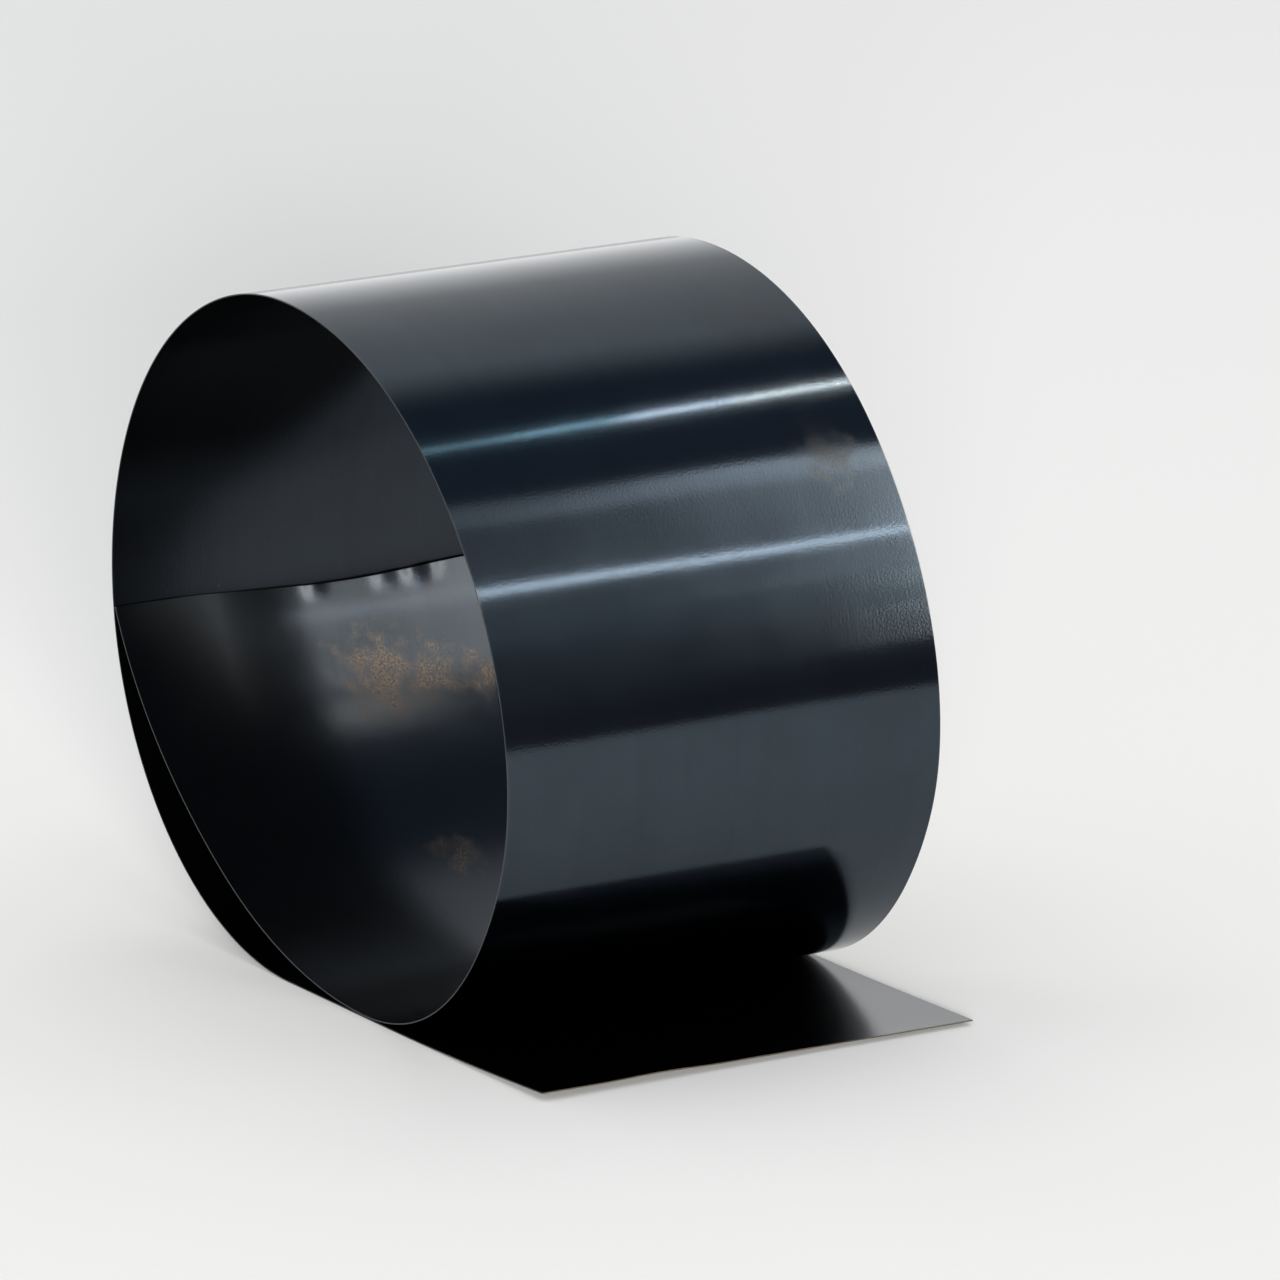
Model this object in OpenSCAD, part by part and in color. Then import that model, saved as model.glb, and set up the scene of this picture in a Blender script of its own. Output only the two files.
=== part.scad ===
// A spring steel strip, loosely rolled on its side: a flat tail on the floor, a bit over one
// turn of roll standing on it, and an inner end lying up the back.
// X runs along the tail, with its free end at +X. Y runs across the strip. Z is up.
// The origin is on the floor, at the middle of the outline seen from above.

/* [Strip] */
// Width of the strip, from slit edge to slit edge
strip_width = 150; // [50:1:300]
// Thickness of the steel
strip_thickness = 0.4; // [0.2:0.1:1]

/* [Roll] */
// Height of the roll over its outside
roll_height = 210; // [180:1:240]
// Radius of the lower back quarter of the roll, at mid-thickness
back_radius = 106; // [90:1:125]
// Distance from where the back leaves the floor to where the front comes down on the tail
foot_reach = 45; // [10:1:80]
// Gap left between the foot of the front and the tail under it
foot_gap = 0.1; // [0.1:0.1:1]

/* [Ends] */
// Length of the flat tail, from where the back leaves the floor
tail_length = 146; // [90:1:300]
// Angle up the back that the inner end reaches, from straight down
inner_lap = 84; // [45:1:90]
// Gap between the inner end and the turn outside it
end_gap = 4; // [1:0.5:10]

/* [Hidden] */
$fn = 180;
blued_steel = [0.13, 0.15, 0.19];

// The foot of the front lies one thickness and the foot gap above the tail, at mid-thickness.
foot_rise = strip_thickness + foot_gap;

// Four quarter turns make the roll. Each starts where the last one ends, in the same direction.
top_back_radius = roll_height - strip_thickness - back_radius;
top_front_radius = back_radius + (foot_reach - foot_rise) / 2;
foot_radius = back_radius + top_back_radius - top_front_radius - foot_rise;

// Centres of the quarter turns, as X and Z from the point where the back leaves the floor
top_x = top_back_radius - back_radius;
front_z = back_radius + top_back_radius - top_front_radius;
back_centre = [0, back_radius];
top_back_centre = [top_x, back_radius];
top_front_centre = [top_x, front_z];
foot_centre = [foot_reach, front_z];

// The inner turn is one arc from the foot to the inner end, which stops short of the back.
end_radius = back_radius - strip_thickness - end_gap;
end_x = -end_radius * sin(inner_lap);
end_z = back_radius - end_radius * cos(inner_lap);
inner_run = foot_reach - end_x;
inner_climb = end_z - foot_rise;
// Its radius and sweep are rounded to a hundredth, so that its start meets the foot exactly.
inner_radius = round(50 * (inner_run ^ 2 + inner_climb ^ 2) / inner_climb) / 100;
inner_centre = [foot_reach, foot_rise + inner_radius];
inner_sweep = round(100 * atan2(inner_run, inner_radius - inner_climb)) / 100;

// Reach of the outline to the back and to the front
back_reach = back_radius + strip_thickness / 2;
front_reach = max(tail_length, top_x + top_front_radius + strip_thickness / 2);

// One bend of the strip about an axis along Y. Angles turn from +X towards +Z.
module bend(centre, radius, from, sweep) {
    translate([centre.x, 0, centre.y])
        rotate([90, 0, 0])
            rotate_extrude(angle = sweep, start = from)
                translate([radius, 0])
                    square([strip_thickness, strip_width], center = true);
}

module tail() {
    translate([0, -strip_width / 2, -strip_thickness / 2])
        cube([tail_length, strip_width, strip_thickness]);
}

module roll() {
    bend(back_centre, back_radius, 180, 90);
    bend(top_back_centre, top_back_radius, 90, 90);
    bend(top_front_centre, top_front_radius, 0, 90);
    bend(foot_centre, foot_radius, 270, 90);
    bend(inner_centre, inner_radius, 270 - inner_sweep, inner_sweep);
}

module strip() {
    color(blued_steel)
        translate([(back_reach - front_reach) / 2, 0, strip_thickness / 2])
            union() {
                tail();
                roll();
            }
}

strip();
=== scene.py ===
# %% [markdown]
# # A loosely rolled spring steel strip
# The object is one piece of stock: a wide, thin ribbon of blued spring steel. It lies on its side, with a
# flat tail on the floor, one loose turn standing on that tail, and an inner end leaning up the back.
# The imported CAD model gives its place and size. This lesson bends the same ribbon again as a fine mesh,
# so that it can carry the small waves, lifted ends and mirror finish that the real steel shows.

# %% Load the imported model
import math

import bmesh
import bpy
from mathutils import Matrix, Vector


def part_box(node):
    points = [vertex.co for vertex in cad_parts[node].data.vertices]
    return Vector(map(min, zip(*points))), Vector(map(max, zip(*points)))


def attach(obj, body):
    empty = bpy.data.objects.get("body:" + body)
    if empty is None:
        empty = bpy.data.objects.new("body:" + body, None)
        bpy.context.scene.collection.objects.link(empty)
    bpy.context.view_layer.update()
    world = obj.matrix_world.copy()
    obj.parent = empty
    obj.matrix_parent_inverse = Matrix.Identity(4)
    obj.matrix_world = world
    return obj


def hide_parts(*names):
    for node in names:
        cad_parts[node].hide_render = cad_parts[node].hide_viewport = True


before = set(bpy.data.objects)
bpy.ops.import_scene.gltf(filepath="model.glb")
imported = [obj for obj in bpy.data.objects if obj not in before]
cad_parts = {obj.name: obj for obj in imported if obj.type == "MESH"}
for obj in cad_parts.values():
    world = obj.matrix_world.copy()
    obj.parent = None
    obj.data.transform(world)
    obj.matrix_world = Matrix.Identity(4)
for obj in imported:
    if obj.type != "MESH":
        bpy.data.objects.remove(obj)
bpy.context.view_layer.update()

low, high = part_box("strip")
print("CAD box in mm:", [round(1000 * v, 1) for v in (*low, *high)])

# %% [markdown]
# ## The camera
# The camera was fitted to the outline of the roll: it stands to the right of the roll's open end, a little
# above it, with a long lens, so that the near and far ends of the roll look almost the same size.

# %% Camera
camera_place = Vector((2.8201, -1.7198, 0.9511))
camera_azimuth = math.radians(31.921)
camera_elevation = math.radians(14.441)
lens_length = 319.2

looking = Vector((
    -math.cos(camera_azimuth) * math.cos(camera_elevation),
    math.sin(camera_azimuth) * math.cos(camera_elevation),
    -math.sin(camera_elevation),
))
bpy.ops.object.camera_add(location=camera_place)
camera = bpy.context.object
camera.name = "camera"
camera.rotation_euler = looking.to_track_quat("-Z", "Y").to_euler()
camera.data.lens = lens_length
camera.data.sensor_width = 36
camera.data.clip_start = 0.05
camera.data.clip_end = 60
bpy.context.scene.camera = camera
print("camera looks along", [round(v, 3) for v in looking])

# %% [markdown]
# ## The strip's dimensions
# The strip is bent through four quarter turns, each with its own radius, and one wider turn inside.
# The width and the outer size are read from the CAD node. The radii are the same few driving sizes that the
# CAD source has, in metres, measured to the middle of the steel's thickness.

# %% Dimensions
strip_width = high.y - low.y
roll_height = high.z - low.z
strip_thickness = 0.0004
back_radius = 0.106
foot_reach = 0.045
foot_gap = 0.0001
inner_lap = math.radians(84)
end_gap = 0.004

foot_rise = strip_thickness + foot_gap
top_back_radius = roll_height - strip_thickness - back_radius
top_front_radius = back_radius + (foot_reach - foot_rise) / 2
foot_radius = back_radius + top_back_radius - top_front_radius - foot_rise

floor_line = low.z + strip_thickness / 2
tail_start = low.x + back_radius + strip_thickness / 2
tail_length = high.x - tail_start
top_x = tail_start + top_back_radius - back_radius
foot_x = tail_start + foot_reach
back_z = floor_line + back_radius
front_z = floor_line + back_radius + top_back_radius - top_front_radius

end_radius = back_radius - strip_thickness - end_gap
inner_run = foot_reach + end_radius * math.sin(inner_lap)
inner_climb = back_radius - end_radius * math.cos(inner_lap) - foot_rise
inner_radius = (inner_run ** 2 + inner_climb ** 2) / (2 * inner_climb)
inner_sweep = math.atan2(inner_run, inner_radius - inner_climb)
inner_z = floor_line + foot_rise + inner_radius

quarter = math.pi / 2
bends = [
    ("back", (tail_start, back_z), back_radius, quarter),
    ("top_back", (top_x, back_z), top_back_radius, quarter),
    ("top_front", (top_x, front_z), top_front_radius, quarter),
    ("foot", (foot_x, front_z), foot_radius, quarter),
    ("inner_turn", (foot_x, inner_z), inner_radius, inner_sweep),
]
strip_length = tail_length + sum(radius * sweep for _, _, radius, sweep in bends)
print("unrolled length in mm:", round(1000 * strip_length, 1))

# %% [markdown]
# ## The tail
# A strip starts flat, so the first piece is a grid of small faces at the tail's size and place.
# The faces are 2 mm across, fine enough for later waves and for clean reflections on a mirror finish.
# `select_where` picks parts of the mesh in edit mode by their place, as a mouse would.

# %% Tail grid
face_size = 0.002


def select_where(mesh_object, test, kind="VERT"):
    """Selects in edit mode the vertices that pass the test, or the edges that lie between them."""
    bpy.ops.mesh.select_mode(type=kind)
    bpy.ops.mesh.select_all(action="DESELECT")
    mesh = bmesh.from_edit_mesh(mesh_object.data)
    parts = mesh.verts if kind == "VERT" else mesh.edges
    for part in parts:
        corners = [part] if kind == "VERT" else part.verts
        if all(test(vertex) for vertex in corners):
            part.select = True
    bmesh.update_edit_mesh(mesh_object.data)


bpy.ops.object.select_all(action="DESELECT")
bpy.ops.mesh.primitive_grid_add(
    x_subdivisions=round(tail_length / face_size),
    y_subdivisions=round(strip_width / face_size),
    size=1,
    location=(tail_start + tail_length / 2, 0, floor_line),
)
strip = bpy.context.object
strip.name = "rolled_strip"
bpy.ops.transform.resize(value=(tail_length, strip_width, 1))
bpy.ops.object.transform_apply(location=True, rotation=True, scale=True)
print("tail grid:", len(strip.data.polygons), "faces")

# %% [markdown]
# ## The bends
# A bending roller turns the strip about one axis at a time, and Blender's Spin does the same: it sweeps the
# last row of edges about an axis. Each bend starts where the last one ended, so the curve stays smooth.
# Every new point also stores how far along the unrolled strip it lies and how far across, because the
# rolling marks on the steel follow the strip and not the room. At the end the faces are turned so that they
# look away from the middle of the roll, which on the tail is down.

# %% Spin the bends
bpy.ops.object.mode_set(mode="EDIT")
mesh = bmesh.from_edit_mesh(strip.data)
place_layer = mesh.verts.layers.float_vector.new("strip_place")
for vertex in mesh.verts:
    vertex[place_layer] = (tail_start + tail_length - vertex.co.x, vertex.co.y, 0)

near_root = face_size / 4
select_where(strip, lambda vertex: abs(vertex.co.x - tail_start) < near_root, "EDGE")
along_so_far = tail_length
for name, (centre_x, centre_z), radius, sweep in bends:
    mesh = bmesh.from_edit_mesh(strip.data)
    made_before = len(mesh.verts)
    rows = round(radius * sweep / face_size)
    bpy.ops.mesh.spin(steps=rows, angle=sweep, center=(centre_x, 0, centre_z), axis=(0, -1, 0))
    mesh = bmesh.from_edit_mesh(strip.data)
    mesh.verts.ensure_lookup_table()
    place_layer = mesh.verts.layers.float_vector["strip_place"]
    across_count = round(strip_width / face_size) + 1
    for step in range(rows):
        row_along = along_so_far + radius * sweep * (step + 1) / rows
        row_start = made_before + step * across_count
        for vertex in mesh.verts[row_start:row_start + across_count]:
            vertex[place_layer] = (row_along, vertex.co.y, 0)
    along_so_far += radius * sweep
    print(name, "radius in mm", round(1000 * radius, 2), "rows", rows)
bmesh.update_edit_mesh(strip.data)
bpy.ops.mesh.select_all(action="SELECT")
bpy.ops.mesh.remove_doubles(threshold=1e-6)
bpy.ops.mesh.normals_make_consistent(inside=False)
lowest_face = min(bmesh.from_edit_mesh(strip.data).faces, key=lambda face: face.calc_center_median().z)
if lowest_face.normal.z > 0:
    bpy.ops.mesh.flip_normals()
bpy.ops.object.mode_set(mode="OBJECT")
print("bent sheet:", len(strip.data.polygons), "faces")

# %% [markdown]
# ## Where the steel springs back
# A real roll is never quite round. The front bulges out a little above its middle and draws in below it, the
# tail's near corner springs up off the floor, and the inner end leans on the back at one corner and carries
# a few small dents. Proportional editing could pull each of these by hand. Here one function gives the push
# away from the roll's middle at any place on the unrolled strip, because the lamps are later set by the
# same small tilts.

# %% Springy shapes
front_bulge = 0.0017
bulge_facing = 8.6
bulge_reach = 0.070
foot_draw = 0.0013
draw_facing = -30
draw_reach = 0.060

end_lift = 0.0010
corner_lift = 0.0012
lift_run = 0.090
end_ripple = 0.0004
ripple_across = -0.034
ripple_reach = 0.022
ripple_run = 0.030

end_lean = 0.0027
lean_run = 0.090
touch_lean = 0.0010
touch_across = -0.040
touch_reach = 0.030
end_dents = [(-0.006, 0.0004), (0.019, 0.0003), (0.030, 0.0004), (0.036, -0.0003)]
dent_inset = 0.001
dent_reach = 0.005

wave_height = 0.00004
waves_along = 70
waves_across = 45
waves_slant = 9
front_start = tail_length + quarter * (back_radius + top_back_radius)


def along_front(facing_degrees):
    """How far along the strip the front of the roll faces the given angle above level."""
    facing = math.radians(facing_degrees)
    if facing > 0:
        return front_start + top_front_radius * (quarter - facing)
    return front_start + top_front_radius * quarter - foot_radius * facing


def hump(distance, reach):
    """A smooth rise from 0 at the reach to 1 in the middle, as in soft proportional editing."""
    closeness = max(0, 1 - abs(distance) / reach)
    return closeness * closeness * (3 - 2 * closeness)


def sheet_push(along, across):
    """How far the steel stands out from its plain bend, away from the roll's middle."""
    near_share = 0.5 - across / strip_width
    from_end = strip_length - along
    push = front_bulge * hump(along - along_front(bulge_facing), bulge_reach)
    push -= foot_draw * hump(along - along_front(draw_facing), draw_reach)
    push -= (end_lift + corner_lift * near_share) * max(0, 1 - along / lift_run) ** 2
    push -= end_ripple * hump(across - ripple_across, ripple_reach) * hump(along, ripple_run)
    lean = end_lean + touch_lean * hump(max(0, across - touch_across), touch_reach)
    push += lean * hump(from_end, lean_run)
    for dent_across, depth in end_dents:
        push += depth * hump(math.hypot(across - dent_across, from_end - dent_inset), dent_reach)
    wave_phase = across * waves_across + along * waves_slant
    push += wave_height * math.sin(along * waves_along) * math.cos(wave_phase)
    return push


print("front stands out in mm:", round(1000 * sheet_push(along_front(bulge_facing), 0), 2))

# %% [markdown]
# ## Pushing the sheet
# Every point of the sheet now moves along its own normal by that push. The cut edge of the inner end also
# hangs a little lower at mid-width, so the points near it slide back along the strip.

# %% Push the sheet
end_sag = 0.0026
sag_across = 0.004
sag_reach = 0.062
sag_run = 0.030
end_heading = Vector((-math.cos(inner_sweep), 0, math.sin(inner_sweep)))

bpy.ops.object.mode_set(mode="EDIT")
mesh = bmesh.from_edit_mesh(strip.data)
place_layer = mesh.verts.layers.float_vector["strip_place"]
pushes = []
for vertex in mesh.verts:
    along, across, _ = vertex[place_layer]
    pushes.append(sheet_push(along, across))
    sag = end_sag * hump(across - sag_across, sag_reach) * hump(strip_length - along, sag_run)
    vertex.co += pushes[-1] * vertex.normal - sag * end_heading
bmesh.update_edit_mesh(strip.data)
bpy.ops.object.mode_set(mode="OBJECT")
print("pushes in mm, from", round(1000 * min(pushes), 2), "to", round(1000 * max(pushes), 2))

# %% [markdown]
# ## Thickness and slit edges
# Solidify gives the sheet its 0.4 mm of steel, half to each side. The strip gets three finishes: the outer
# side, which the rolls polished, the duller inner side, and the rim, which is the bare slit edge. They are
# only named here, and are filled further down. A tiny bevel takes the sharpness off the rim, as deburring
# does, and lets the edge catch a line of light. Shading is smooth only across small angles, so that the
# bevel does not bend the mirror image next to it.

# %% Thickness
deburr = 0.00006
deburr_angle = math.radians(60)
smooth_angle = math.radians(20)

outer_steel = bpy.data.materials.new("blued_steel")
inner_steel = bpy.data.materials.new("blued_steel_inside")
slit_edge = bpy.data.materials.new("slit_edge")
for finish in (outer_steel, inner_steel, slit_edge):
    strip.data.materials.append(finish)

bpy.ops.object.select_all(action="DESELECT")
strip.select_set(True)
bpy.context.view_layer.objects.active = strip
solidify = strip.modifiers.new("steel_thickness", "SOLIDIFY")
solidify.thickness = strip_thickness
solidify.offset = 0
solidify.use_even_offset = True
solidify.material_offset = 1
solidify.material_offset_rim = 2
bpy.ops.object.modifier_apply(modifier=solidify.name)
bevel = strip.modifiers.new("deburred_edge", "BEVEL")
bevel.width = deburr
bevel.segments = 2
bevel.limit_method = "ANGLE"
bevel.angle_limit = deburr_angle
bpy.ops.object.modifier_apply(modifier=bevel.name)
bpy.ops.object.shade_smooth_by_angle(angle=smooth_angle)
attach(strip, "root")
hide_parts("strip")
counts = [0, 0, 0]
for face in strip.data.polygons:
    counts[face.material_index] += 1
print("faces outside, inside and on the edges:", counts)

# %% [markdown]
# ## A small tool for finishes
# A finish is a chain of nodes. The class below wraps one value of such a chain, so that a sum or product in
# Python adds the Math node that does it, and one method adds any other node with its settings and inputs.

# %% Wires
class Wire:
    """One value in a node tree. Arithmetic on wires adds Math nodes."""

    def __init__(self, tree, socket=None):
        self.tree = tree
        self.socket = socket

    def node(self, kind, settings=None, inputs=None, output=0):
        """Adds a node, sets it up, feeds its inputs and returns one output as a wire."""
        made = self.tree.nodes.new(kind)
        for setting, value in (settings or {}).items():
            if setting == "stops":
                stops = made.color_ramp.elements
                while len(stops) < len(value):
                    stops.new(1)
                for stop, (position, colour) in zip(stops, value):
                    stop.position = position
                    stop.color = colour
            else:
                setattr(made, setting, value)
        for socket, value in (inputs or {}).items():
            if isinstance(value, Wire):
                self.tree.links.new(value.socket, made.inputs[socket])
            else:
                made.inputs[socket].default_value = value
        return None if output is None else Wire(self.tree, made.outputs[output])

    def maths(self, operation, first, second):
        return self.node("ShaderNodeMath", {"operation": operation}, {0: first, 1: second})

    def __add__(self, other):
        return self.maths("ADD", self, other)

    def __radd__(self, other):
        return self.maths("ADD", other, self)

    def __sub__(self, other):
        return self.maths("SUBTRACT", self, other)

    def __rsub__(self, other):
        return self.maths("SUBTRACT", other, self)

    def __mul__(self, other):
        return self.maths("MULTIPLY", self, other)

    def __rmul__(self, other):
        return self.maths("MULTIPLY", other, self)


# %% [markdown]
# ## Patterns on the steel
# All marks on the strip are patterns over the stored place on the unrolled strip. Noise that is drawn out
# along the strip gives rolling streaks, fine noise gives the grain that makes a lamp's reflection sparkle,
# and a fade around a point gives a stain.

# %% Patterns
def noise(place, scale, detail):
    """Soft noise from 0 to 1, with the given number of patches to a metre."""
    return place.node("ShaderNodeTexNoise", inputs={"Vector": place, "Scale": scale, "Detail": detail})


def fade(value, start, end):
    """A smooth change from 0 at the start value to 1 at the end value."""
    limits = {"Value": value, "From Min": start, "From Max": end}
    return value.node("ShaderNodeMapRange", {"interpolation_type": "SMOOTHSTEP"}, limits)


def stretched(place, along, across):
    """The place with its two directions scaled apart, for patterns that follow the rolling."""
    return place.node("ShaderNodeVectorMath", {"operation": "MULTIPLY"}, {0: place, 1: (along, across, 1)})


def blend(share, first, second):
    """One colour over another."""
    return share.node("ShaderNodeMix", {"data_type": "RGBA"}, {0: share, 6: first, 7: second}, 2)


def spots(place, spot_list, ragged):
    """A mask of ragged spots, each given by its place along and across and its reach."""
    mask = None
    for along, across, reach in spot_list:
        centre = {0: place, 1: (along, across, 0)}
        away = place.node("ShaderNodeVectorMath", {"operation": "DISTANCE"}, centre, "Value")
        spot = fade(ragged - away * (0.35 / reach), 0.12, 0.52)
        mask = spot if mask is None else mask.maths("MAXIMUM", mask, spot)
    return mask


# %% [markdown]
# ## Blued steel
# Blued spring steel is a metal under a thin oxide skin, made by heating polished strip until it turns dark
# blue. It mirrors like steel, but gives back only about a sixteenth of the light, with a blue cast. Where the
# skin is thinner it turns straw and bronze. The outer side was polished by the rolls. The inner side is
# duller and has a slight haze, so the same recipe is used twice with other numbers. Along both edges the
# skin is worn.

# %% Blued steel
grain_height = 0.000012
streak_height = 0.0000004
speck_depth = 0.000004
wear_start = strip_width / 2 - 0.0006
wear_full = strip_width / 2 - 0.0001
speck_colour = (0.22, 0.22, 0.22, 1)
worn_colour = (0.13, 0.14, 0.15, 1)


def blued_finish(material, skin_colour, gloss, haze, stains, stain_colour):
    """Fills a material with the oxide skin: streaks, grain, specks, stains and worn edges."""
    material.use_nodes = True
    shader = material.node_tree.nodes["Principled BSDF"]
    steel = Wire(material.node_tree)
    place = steel.node("ShaderNodeAttribute", {"attribute_name": "strip_place"}, output="Vector")
    across = steel.node("ShaderNodeSeparateXYZ", inputs={"Vector": place}, output="Y")
    broad_streaks = noise(stretched(place, 3, 160), 1, 3)
    fine_streaks = noise(stretched(place, 8, 900), 1, 3)
    grain = noise(place, 1300, 2)
    clouds = noise(place, 45, 5)
    speckle = fade(noise(place, 1300, 3), 0.42, 0.60)
    stain = spots(place, stains, noise(place, 160, 6))
    pits = steel.node("ShaderNodeTexVoronoi", inputs={"Vector": place, "Scale": 60}, output="Distance")
    speck = fade(pits, 0.022, 0.012)
    worn = fade(across.maths("ABSOLUTE", across, 0), wear_start, wear_full)

    light_skin = tuple(1.10 * level for level in skin_colour) + (1,)
    dark_skin = tuple(0.90 * level for level in skin_colour) + (1,)
    mottle = broad_streaks * 0.2 + fine_streaks * 0.1 + grain * 0.3 + clouds * 0.4
    colour = blend(fade(mottle, 0.3, 0.7), dark_skin, light_skin)
    colour = blend(stain * (0.12 + 0.55 * speckle), colour, (*stain_colour, 1))
    colour = blend(speck * 0.5, colour, speck_colour)
    colour = blend(worn * 0.3, colour, worn_colour)
    roughness = gloss + 0.01 * (fine_streaks - 0.5) + 0.04 * (clouds - 0.5) + 0.10 * stain + 0.05 * worn
    height = grain_height * grain + streak_height * fine_streaks - speck_depth * speck
    normal = steel.node("ShaderNodeBump", inputs={"Strength": 1, "Distance": 1, "Height": height})
    for wire, socket in ((colour, "Base Color"), (roughness, "Roughness"), (normal, "Normal")):
        material.node_tree.links.new(wire.socket, shader.inputs[socket])
    shader.inputs["Metallic"].default_value = 1 - haze
    print(material.name, "has", len(material.node_tree.nodes), "nodes")


outer_stains = [(0.527, 0.060, 0.020), (0.583, 0.056, 0.014)]
inner_stains = [
    (0.953, 0.010, 0.018), (0.952, 0.026, 0.012), (0.949, 0.044, 0.010), (0.885, 0.004, 0.010),
]
outer_skin = (0.048, 0.061, 0.075)
inner_skin = (0.034, 0.040, 0.048)
bronze_stain = (0.070, 0.065, 0.059)
straw_stain = (0.155, 0.118, 0.086)
blued_finish(outer_steel, outer_skin, 0.10, 0, outer_stains, bronze_stain)
blued_finish(inner_steel, inner_skin, 0.19, 0.008, inner_stains, straw_stain)

# %% [markdown]
# ## Slit edges
# Rotary knives slit the strip, so its long edges are bare grey steel with fine marks. The two ends were cut
# after the blueing and show a warmer brown line.

# %% Slit edges
cut_start = 0.0010
cut_full = 0.0004
dark_edge = (0.045, 0.049, 0.053, 1)
bright_edge = (0.115, 0.119, 0.123, 1)
cut_colour = (0.22, 0.18, 0.12, 1)

slit_edge.use_nodes = True
shader = slit_edge.node_tree.nodes["Principled BSDF"]
edge = Wire(slit_edge.node_tree)
place = edge.node("ShaderNodeAttribute", {"attribute_name": "strip_place"}, output="Vector")
along = edge.node("ShaderNodeSeparateXYZ", inputs={"Vector": place}, output="X")
knife_marks = noise(place, 2500, 3)
tail_cut = fade(along, cut_start, cut_full)
inner_cut = fade(along, strip_length - cut_start, strip_length - cut_full)
cut_end = edge.maths("MAXIMUM", tail_cut, inner_cut)
colour = blend(knife_marks, dark_edge, bright_edge)
colour = blend(cut_end * 0.8, colour, cut_colour)
roughness = 0.32 + 0.2 * knife_marks
for wire, socket in ((colour, "Base Color"), (roughness, "Roughness")):
    slit_edge.node_tree.links.new(wire.socket, shader.inputs[socket])
shader.inputs["Metallic"].default_value = 1
print(slit_edge.name, "has", len(slit_edge.node_tree.nodes), "nodes")

# %% [markdown]
# ## The floor
# The strip lies on a pale, matt studio floor, which runs far out on all sides. It takes the soft shadow, and
# it shows in the lower front of the roll.

# %% Floor
floor_radius = 8
floor_place = (0, 0, -0.0002)

bpy.ops.object.select_all(action="DESELECT")
bpy.ops.mesh.primitive_circle_add(vertices=96, radius=floor_radius, fill_type="NGON", location=floor_place)
floor = bpy.context.object
floor.name = "studio_floor"
pale_floor = bpy.data.materials.new("pale_floor")
pale_floor.use_nodes = True
paint = pale_floor.node_tree.nodes["Principled BSDF"]
paint.inputs["Base Color"].default_value = (0.86, 0.86, 0.845, 1)
paint.inputs["Roughness"].default_value = 1
paint.inputs["Specular IOR Level"].default_value = 0
floor.data.materials.append(pale_floor)
print("floor radius in m:", floor_radius)

# %% [markdown]
# ## Lamps in the mirror
# A mirror finish is only as good as what it mirrors. Blued steel looks like steel because of two thin lines
# of light and one wide soft panel on the front of the roll. Each lamp is therefore placed from its own
# reflection: a ray is followed from the camera to a place on the roll, mirrored there, and the lamp is put
# where the rays land. A place on the roll is given by the angle that the plain bend faces, above level, and
# by how far across the strip it lies. The small tilt of the sprung steel is added to that angle. These
# lamps show in the steel only, and the floor has lamps of its own.

# %% Lamp placing
tilt_step = 0.001


def mirrored_spot(facing_degrees, across, reach):
    """The place that the camera sees in the front of the roll, at the given reach from the steel."""
    along = along_front(facing_degrees)
    rise = sheet_push(along + tilt_step, across) - sheet_push(along - tilt_step, across)
    bend = math.radians(facing_degrees)
    facing = bend + math.atan2(rise, 2 * tilt_step)
    stand = top_front_radius + sheet_push(along, across)
    steel = Vector((top_x + stand * math.cos(bend), across, front_z + stand * math.sin(bend)))
    ray = (steel - camera_place).normalized()
    return steel + reach * ray.reflect(Vector((math.cos(facing), 0, math.sin(facing))))


def mirrored_lamp(name, low_facing, high_facing, start, end, radiance, reach, tint=(1, 1, 1), slope=0):
    """A soft lamp that shows in the roll as a band, from start to end across the strip."""
    near_low = mirrored_spot(low_facing + slope * start, start, reach)
    near_high = mirrored_spot(high_facing + slope * start, start, reach)
    far_low = mirrored_spot(low_facing + slope * end, end, reach)
    far_high = mirrored_spot(high_facing + slope * end, end, reach)
    length = (far_low + far_high - near_low - near_high) / 2
    depth = (near_low + far_low - near_high - far_high) / 2
    side = length.normalized()
    outward = depth.cross(side).normalized()
    bpy.ops.object.light_add(type="AREA", location=(near_low + near_high + far_low + far_high) / 4)
    lamp = bpy.context.object
    lamp.name = name
    lamp.rotation_euler = Matrix((side.cross(outward), side, outward)).transposed().to_euler()
    lamp.data.shape = "RECTANGLE"
    lamp.data.size = depth.length
    lamp.data.size_y = length.length
    lamp.data.energy = radiance * math.pi * depth.length * length.length
    lamp.data.color = tint
    lamp.visible_camera = False
    lamp.visible_diffuse = False
    print(name, "at", [round(v, 2) for v in lamp.location], "power in W", round(lamp.data.energy, 2))


# %% [markdown]
# ## Lines of light
# The upper line comes from a narrow slit close to the roll, with a faint halo behind it. It runs from cool
# and dim at the near edge to warm and bright at the far edge, so it is built in four steps. The lower line
# is one plain tube further off.

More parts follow.
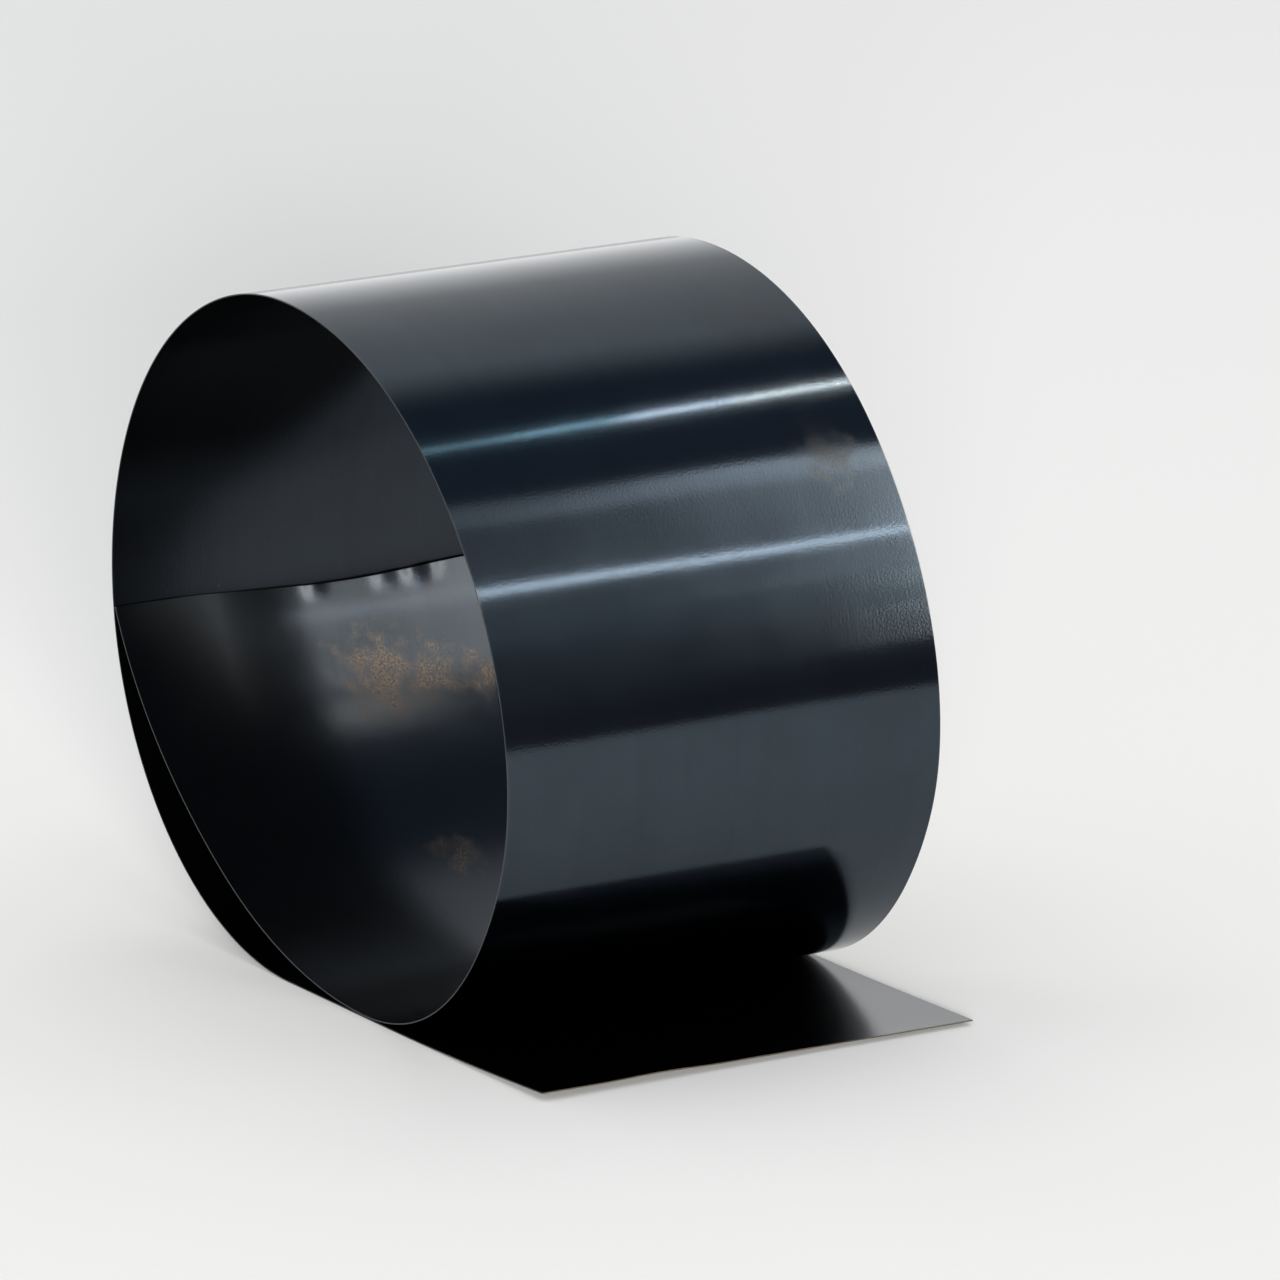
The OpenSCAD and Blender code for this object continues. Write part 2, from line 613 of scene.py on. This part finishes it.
# %% Lines of light
panel_reach = 1.6
slit_reach = 0.35
cool = (0.68, 1.0, 1.05)
warm = (1.0, 0.92, 0.80)
white = (1, 1, 1)
slit_facing = (50.8, 51.22)
halo_facing = (49.2, 52.8)
lamp_gap = 0.02
slit_slope = 10
tube_facing = (28.88, 29.28)
tube_slope = 1.5
slit_steps = [
    (-0.120, -0.045, 5, 0.12, cool), (-0.045, -0.005, 11, 0.18, cool),
    (-0.005, 0.035, 26, 0.30, white), (0.035, 0.085, 35, 0.40, warm),
]
for start, end, radiance, halo, tint in slit_steps:
    mirrored_lamp("top_slit", *slit_facing, start, end, radiance, slit_reach, tint, slit_slope)
    mirrored_lamp("top_slit_halo", *halo_facing, start, end, halo, slit_reach + lamp_gap, tint, slit_slope)
mirrored_lamp("front_tube", *tube_facing, -0.12, 0.08, 22, panel_reach - lamp_gap, white, tube_slope)

# %% [markdown]
# ## The soft panel
# The wide pale band between the two lines, and the patch of light inside the roll, mirror one large panel
# that grows brighter away from the camera. It is made of tiles: five bands up the roll, in steps across it.

# %% Soft panel
mild = (1.0, 0.97, 0.92)
softbox_bands = [(14.5, 19.5), (19.5, 24.0), (24.0, 30.5), (30.5, 38.3), (38.3, 41.5)]
softbox_steps = [
    (-0.120, -0.045, white, (0, 0, 0, 0.02, 0.42)),
    (-0.045, -0.015, white, (0, 0.01, 0.03, 0.10, 0.85)),
    (-0.015, 0.015, white, (0, 0.04, 0.10, 0.32, 1.65)),
    (0.015, 0.043, white, (0, 0.12, 0.35, 0.72, 2.70)),
    (0.043, 0.080, mild, (0, 0.42, 1.20, 2.10, 3.90)),
    (0.080, 0.100, mild, (2.6, 2.6, 2.60, 3.00, 4.20)),
    (0.100, 0.125, warm, (5.0, 6.0, 7.00, 6.50, 5.20)),
    (0.125, 0.260, warm, (6.5, 9.0, 12.0, 9.00, 6.00)),
]
for start, end, tint, levels in softbox_steps:
    for band, radiance in zip(softbox_bands, levels):
        if radiance > 0:
            mirrored_lamp("front_softbox", *band, start, end, radiance, panel_reach, tint)

# %% [markdown]
# ## Light for the floor
# A large panel overhead lights the floor evenly. A softbox far off behind the camera, to its right and almost
# as low as the roll, throws the long soft shadow behind it. Both are left out of the mirror, because the
# panel on the front of the roll is already there. Together with the room they light a level surface so that
# its colour shows about as it is written.

# %% Floor lamps
def floor_lamp(name, place, size, radiance, tint):
    """A square lamp that looks at the strip and is not seen in it."""
    bpy.ops.object.light_add(type="AREA", location=place)
    lamp = bpy.context.object
    lamp.name = name
    lamp.data.shape = "SQUARE"
    lamp.data.size = size
    lamp.data.energy = radiance * math.pi * size ** 2
    lamp.data.color = tint
    lamp.rotation_euler = (-Vector(place)).to_track_quat("-Z", "Y").to_euler()
    lamp.visible_glossy = False
    lamp.visible_camera = False
    print(name, "power in W", round(lamp.data.energy, 1))


floor_lamp("overhead_panel", (-0.3, 0.4, 3.0), 4.4, 0.57, (1, 0.962, 0.91))
floor_lamp("low_softbox", (12.2, -6.5, 1.5), 3.8, 127, (1, 0.972, 0.935))

# %% [markdown]
# ## The room
# The rest of the studio is a world whose brightness depends on the angle about the strip's width. The floor
# and the room behind are white. Overhead and low in front there are darker gaps, which make the black
# bands on the roll.

# %% Room
room_levels = [
    (0, 0.13, 0.13, 0.15), (7, 0.13, 0.13, 0.15), (13, 0.18, 0.18, 0.21), (20, 0.22, 0.23, 0.26),
    (27, 0.28, 0.31, 0.34), (33, 0.46, 0.50, 0.54), (42, 0.52, 0.55, 0.58), (64, 0.44, 0.46, 0.48),
    (68, 0.13, 0.16, 0.21), (80, 0.13, 0.17, 0.23), (98, 0.12, 0.15, 0.21), (101, 0.17, 0.20, 0.25),
    (104, 0.30, 0.33, 0.36), (107, 0.52, 0.55, 0.57), (113, 0.88, 0.89, 0.90), (120, 0.85, 0.86, 0.87),
    (150, 0.80, 0.80, 0.80), (160, 1.15, 1.15, 1.15), (168, 1.35, 1.35, 1.35), (180, 1.35, 1.35, 1.35),
]

world = bpy.data.worlds.new("studio")
bpy.context.scene.world = world
world.use_nodes = True
world.node_tree.nodes.clear()
room = Wire(world.node_tree)
towards = room.node("ShaderNodeTexCoord", output="Generated")
towards_x = room.node("ShaderNodeSeparateXYZ", inputs={"Vector": towards}, output="X")
towards_z = room.node("ShaderNodeSeparateXYZ", inputs={"Vector": towards}, output="Z")
angle = room.maths("ARCTAN2", room.maths("MAXIMUM", towards_z, 0), towards_x)
stops = [(degrees / 180, (*level, 1)) for degrees, *level in room_levels]
level = room.node("ShaderNodeValToRGB", {"stops": stops}, {"Fac": angle * (1 / math.pi)}, "Color")
seen_directly = room.node("ShaderNodeLightPath", output="Is Camera Ray")
shown = blend(seen_directly, level, (0.80, 0.80, 0.79, 1))
glow = room.node("ShaderNodeBackground", inputs={"Color": shown}, output="Background")
room.node("ShaderNodeOutputWorld", inputs={"Surface": glow}, output=None)
bpy.context.scene.view_settings.view_transform = "Standard"
print("room levels:", len(room_levels))
